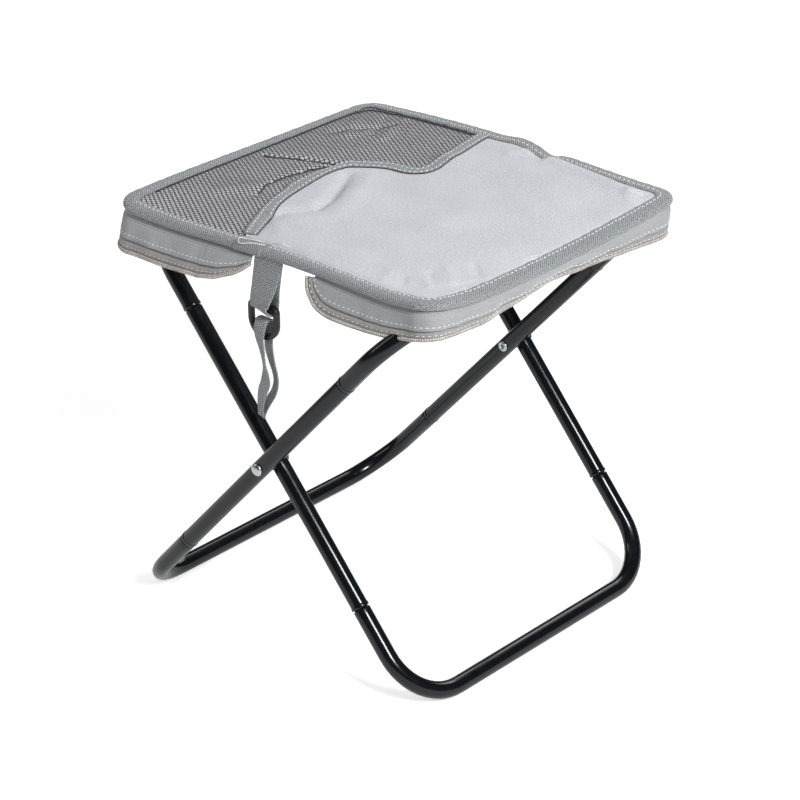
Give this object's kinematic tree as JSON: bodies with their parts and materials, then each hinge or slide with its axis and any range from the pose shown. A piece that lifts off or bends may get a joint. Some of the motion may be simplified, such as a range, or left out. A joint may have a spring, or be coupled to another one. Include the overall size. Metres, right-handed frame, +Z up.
{
  "type": "folding stool",
  "caption": "Folding stool on crossed tube frames with a padded cloth seat whose underside zips into a shallow pouch, an outer net pocket and a webbing strap with a ring.",
  "frame": {"origin": "centre of the bounding box at floor level, under the rivets", "axes": "+Z up, X along the spread of the crossed legs and the length of the seat, Y along the line of the two rivets, near side at -Y"},
  "size_m": [0.302, 0.2927, 0.3165],
  "materials": {
    "frame_paint": "gloss black powder coat",
    "zinc": "bright zinc plate",
    "black_plastic": "moulded black plastic",
    "sleeve_cloth": "woven grey cloth sleeve",
    "lining": "smooth grey lining",
    "foam": "closed-cell foam sheet between the cloths",
    "base_cloth": "plain grey woven cloth",
    "light_cloth": "light grey woven cloth",
    "net": "dark grey knitted mesh",
    "tape": "grey ribbed binding tape",
    "wall_cloth": "grey woven cloth",
    "zip_tape": "light zip tape with moulded teeth",
    "webbing": "grey woven webbing"
  },
  "bodies": {
    "frame_a": {"upper_frame_a": "frame_paint", "middle_tube_a_front": "frame_paint", "middle_tube_a_rear": "frame_paint", "bar_sleeve_right": "sleeve_cloth", "rivet_front": "zinc", "rivet_rear": "zinc", "spacer_front": "black_plastic", "spacer_rear": "black_plastic"},
    "foot_a": {"foot_frame_a": "frame_paint"},
    "frame_b": {"upper_frame_b": "frame_paint", "middle_tube_b_front": "frame_paint", "middle_tube_b_rear": "frame_paint", "bar_sleeve_left": "sleeve_cloth"},
    "foot_b": {"foot_frame_b": "frame_paint"},
    "seat_right": {"lining_right": "lining", "pad_right": "foam", "cover_right": "base_cloth", "binding_right": "tape", "pocket_panel_right": "light_cloth", "front_wall_right": "wall_cloth", "rear_wall_right": "wall_cloth", "zip_front_right": "zip_tape", "zip_rear_right": "zip_tape"},
    "seat_spine": {"lining_spine": "lining", "pad_spine": "foam", "cover_spine": "base_cloth", "binding_spine_front": "tape", "binding_spine_rear": "tape", "pocket_panel_spine": "light_cloth", "net_spine": "net", "pocket_edge_spine": "tape"},
    "seat_left": {"lining_left": "lining", "pad_left": "foam", "cover_left": "base_cloth", "binding_left": "tape", "pocket_panel_left": "light_cloth", "net_left": "net", "pocket_edge_left": "tape", "front_wall_left": "wall_cloth", "rear_wall_left": "wall_cloth", "zip_front_left": "zip_tape", "zip_rear_left": "zip_tape"},
    "end_flap_right": {"end_wall_right": "wall_cloth", "zip_end_right": "zip_tape", "corner_wall_right_front": "wall_cloth", "corner_wall_right_rear": "wall_cloth", "zip_corner_right_front": "zip_tape", "zip_corner_right_rear": "zip_tape"},
    "end_flap_left": {"end_wall_left": "wall_cloth", "zip_end_left": "zip_tape", "corner_wall_left_front": "wall_cloth", "corner_wall_left_rear": "wall_cloth", "zip_corner_left_front": "zip_tape", "zip_corner_left_rear": "zip_tape"},
    "tab": {"strap_tab": "webbing"},
    "ring": {"d_ring": "black_plastic"},
    "loop": {"strap_loop": "webbing"},
    "slider": {"zip_slider": "zinc"},
    "puller": {"zip_puller": "zinc"}
  },
  "joints": [
    {"name": "scissor", "type": "hinge", "parent": "frame_a", "child": "frame_b", "pos_m": [0, 0, 0.155], "axis": [0, 1, 0], "range_deg": [0, 61.5]},
    {"name": "foot_pull_a", "type": "slide", "parent": "frame_a", "child": "foot_a", "axis": [-0.662, 0, -0.7495], "range_m": [0, 0.03]},
    {"name": "foot_pull_b", "type": "slide", "parent": "frame_b", "child": "foot_b", "axis": [0.662, 0, -0.7495], "range_m": [0, 0.03]},
    {"name": "seat_right_fold", "type": "hinge", "parent": "frame_a", "child": "seat_right", "pos_m": [0.12624, 0, 0.29794], "axis": [0, 1, 0], "range_deg": [0, 113.76]},
    {"name": "spine_fold_right", "type": "hinge", "parent": "seat_right", "child": "seat_spine", "pos_m": [0.032, 0, 0.30609], "axis": [0, 1, 0], "range_deg": [-83.01, 0]},
    {"name": "spine_fold_left", "type": "hinge", "parent": "seat_spine", "child": "seat_left", "pos_m": [-0.032, 0, 0.30609], "axis": [0, 1, 0], "range_deg": [-83.01, 0]},
    {"name": "end_flap_right_turn", "type": "hinge", "parent": "seat_right", "child": "end_flap_right", "pos_m": [0.15, 0, 0.30449], "axis": [0, 1, 0], "range_deg": [-75.01, 0], "deforming": ["corner_wall_right_front", "corner_wall_right_rear", "zip_corner_right_front", "zip_corner_right_rear"]},
    {"name": "end_flap_left_turn", "type": "hinge", "parent": "seat_left", "child": "end_flap_left", "pos_m": [-0.15, 0, 0.30449], "axis": [0, 1, 0], "range_deg": [0, 75.01], "deforming": ["corner_wall_left_front", "corner_wall_left_rear", "zip_corner_left_front", "zip_corner_left_rear"]},
    {"name": "tab_swing", "type": "hinge", "parent": "seat_spine", "child": "tab", "pos_m": [-0.0025, -0.1241, 0.30359], "axis": [1, 0, 0], "range_deg": [-30.01, 0]},
    {"name": "ring_swing", "type": "hinge", "parent": "tab", "child": "ring", "pos_m": [-0.0025, -0.13, 0.27234], "axis": [1, 0, 0], "range_deg": [-75, 0]},
    {"name": "loop_swing", "type": "hinge", "parent": "ring", "child": "loop", "pos_m": [-0.0025, -0.13, 0.24954], "axis": [1, 0, 0], "range_deg": [-40, 20]},
    {"name": "zip_slide", "type": "slide", "parent": "seat_left", "child": "slider", "axis": [-1, 0, 0], "range_m": [0, 0.022]},
    {"name": "puller_swing", "type": "hinge", "parent": "slider", "child": "puller", "pos_m": [-0.0735, 0.1444, 0.28379], "axis": [1, 0, 0], "range_deg": [0, 90]}
  ],
  "couplings": [
    {"joint": "seat_right_fold", "follows": "scissor", "ratio": 1.8496},
    {"joint": "spine_fold_right", "follows": "scissor", "ratio": -1.3496},
    {"joint": "spine_fold_left", "follows": "scissor", "ratio": -1.3496},
    {"joint": "end_flap_right_turn", "follows": "scissor", "ratio": -1.2195},
    {"joint": "end_flap_left_turn", "follows": "scissor", "ratio": 1.2195},
    {"joint": "tab_swing", "follows": "scissor", "ratio": -0.4878}
  ]
}
